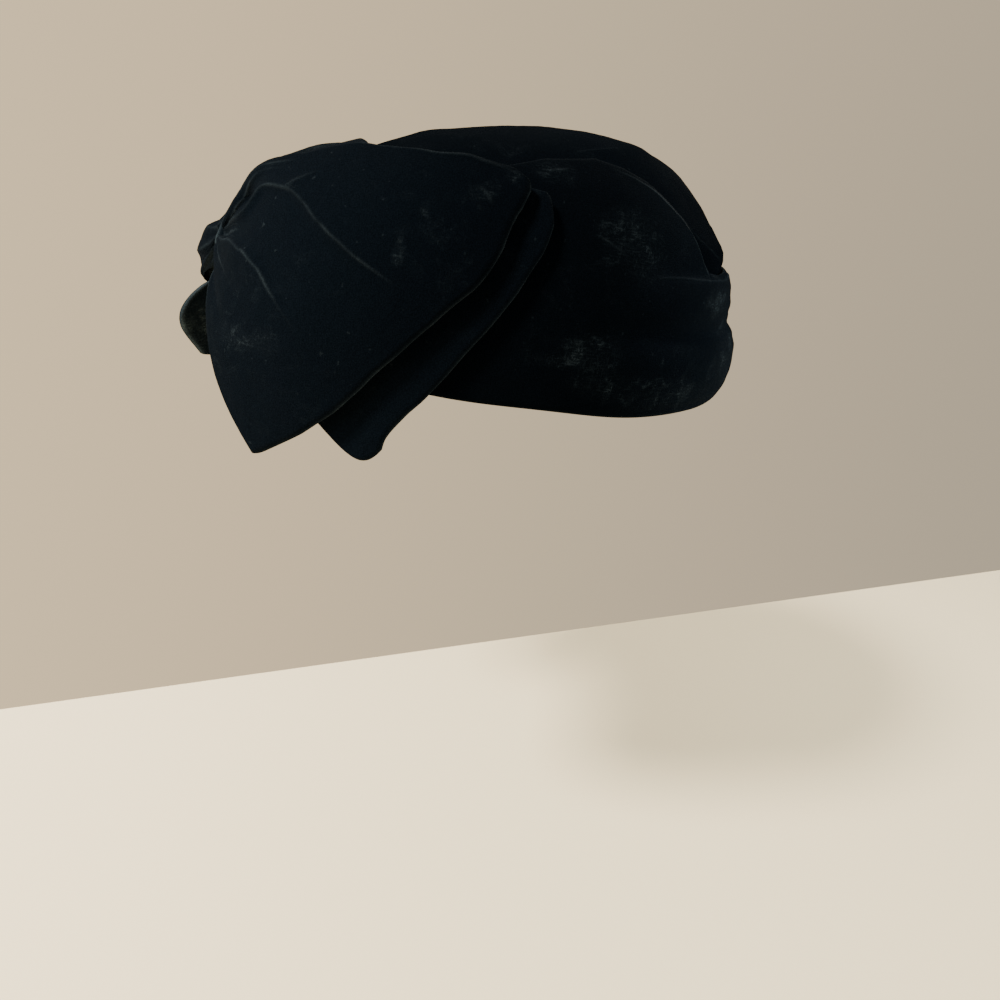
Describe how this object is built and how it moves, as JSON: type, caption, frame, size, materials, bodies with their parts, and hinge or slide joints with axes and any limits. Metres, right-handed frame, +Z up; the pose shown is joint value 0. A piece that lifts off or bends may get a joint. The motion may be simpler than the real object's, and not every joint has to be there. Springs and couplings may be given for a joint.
{
  "type": "turban hat",
  "caption": "Soft draped velvet turban hat with a hollow crown, a folded cuff round the sides and back, and a gathered fan bow at the front.",
  "frame": {"origin": "centre of the head opening, in the plane of the rim, where a head holds the hat", "axes": "+Z up out of the crown, -Y towards the front where the knot is, +X to the wearer's left"},
  "size_m": [0.1662, 0.223, 0.1149],
  "materials": {
    "velvet_crown": "black silk velvet, very matt, with a faint sheen along the folds",
    "velvet_side_drape": "black silk velvet, very matt, with a faint sheen along the folds",
    "velvet_top_drape": "black silk velvet, very matt, with a faint sheen along the folds",
    "velvet_bow_left_upper": "black silk velvet, very matt, with a faint sheen along the folds",
    "velvet_bow_left_lower": "black silk velvet, very matt, with a faint sheen along the folds",
    "velvet_bow_right_upper": "black silk velvet, very matt, with a faint sheen along the folds",
    "velvet_bow_right_lower": "black silk velvet, very matt, with a faint sheen along the folds",
    "velvet_knot": "black silk velvet, very matt, with a faint sheen along the folds"
  },
  "bodies": {
    "root": {"crown": "velvet_crown", "side_drape": "velvet_side_drape", "top_drape": "velvet_top_drape", "bow_left_upper": "velvet_bow_left_upper", "bow_left_lower": "velvet_bow_left_lower", "bow_right_upper": "velvet_bow_right_upper", "bow_right_lower": "velvet_bow_right_lower", "knot": "velvet_knot"}
  },
  "joints": []
}
